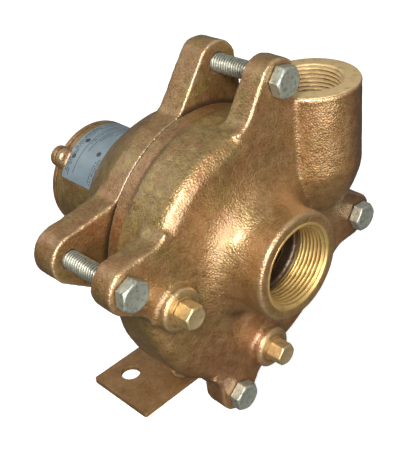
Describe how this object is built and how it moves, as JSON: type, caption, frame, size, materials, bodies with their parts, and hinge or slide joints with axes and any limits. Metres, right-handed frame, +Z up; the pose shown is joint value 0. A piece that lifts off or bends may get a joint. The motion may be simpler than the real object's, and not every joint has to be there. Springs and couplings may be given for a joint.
{
  "type": "centrifugal pump",
  "caption": "Pedestal-mounted centrifugal pump with cast bronze volute casing, threaded suction and discharge ports, eared bearing frame and flat foot.",
  "frame": {"origin": "on the floor, midway between the two foot holes, straight below the shaft", "axes": "-Y along the shaft towards the suction mouth, +Y towards the driven shaft end, +Z up, +X towards the discharge side"},
  "size_m": [0.1844, 0.1805, 0.1882],
  "materials": {
    "cast_bronze": "as cast, brown, satin",
    "turned_bronze": "machined",
    "plug_brass": "bright, worn",
    "zinc": "zinc plated",
    "steel": "turned or drawn",
    "bearing_steel": "ground",
    "rubber": "matt",
    "carbon": "lapped",
    "ceramic": "lapped",
    "label": "satin film"
  },
  "bodies": {
    "housing": {"volute_casing": "cast_bronze", "bearing_frame": "cast_bronze", "seal_plate": "cast_bronze", "casing_gasket": "rubber", "wear_ring": "turned_bronze", "casing_bolts": "zinc", "gauge_plug": "plug_brass", "drain_plug": "plug_brass", "seal_seat": "ceramic", "seal_seat_cup": "rubber", "front_oil_seal": "rubber", "front_outer_race": "bearing_steel", "rear_outer_race": "bearing_steel", "wave_spring": "steel", "bearing_cover": "cast_bronze", "rear_oil_seal": "rubber", "cover_screws": "zinc", "foot_plate": "cast_bronze", "foot_screws": "zinc", "name_label": "label"},
    "rotor": {"impeller": "turned_bronze", "impeller_key": "steel", "impeller_washer": "steel", "impeller_nut": "steel", "pump_shaft": "steel", "coupling_key": "steel", "seal_carbon": "carbon", "seal_bellows": "rubber", "seal_retainer": "steel", "seal_spring": "steel", "slinger": "rubber", "front_inner_race": "bearing_steel", "rear_inner_race": "bearing_steel"},
    "front_ball_set": {"front_balls": "bearing_steel", "front_cage": "steel"},
    "rear_ball_set": {"rear_balls": "bearing_steel", "rear_cage": "steel"}
  },
  "joints": [
    {"name": "shaft_spin", "type": "hinge", "parent": "housing", "child": "rotor", "pos_m": [0, 0, 0.096], "axis": [0, -1, 0], "continuous": true},
    {"name": "front_cage_spin", "type": "hinge", "parent": "housing", "child": "front_ball_set", "pos_m": [0, 0, 0.096], "axis": [0, -1, 0], "continuous": true},
    {"name": "rear_cage_spin", "type": "hinge", "parent": "housing", "child": "rear_ball_set", "pos_m": [0, 0, 0.096], "axis": [0, -1, 0], "continuous": true}
  ],
  "couplings": [
    {"joint": "front_cage_spin", "follows": "shaft_spin", "ratio": 0.3815},
    {"joint": "rear_cage_spin", "follows": "shaft_spin", "ratio": 0.3815}
  ]
}
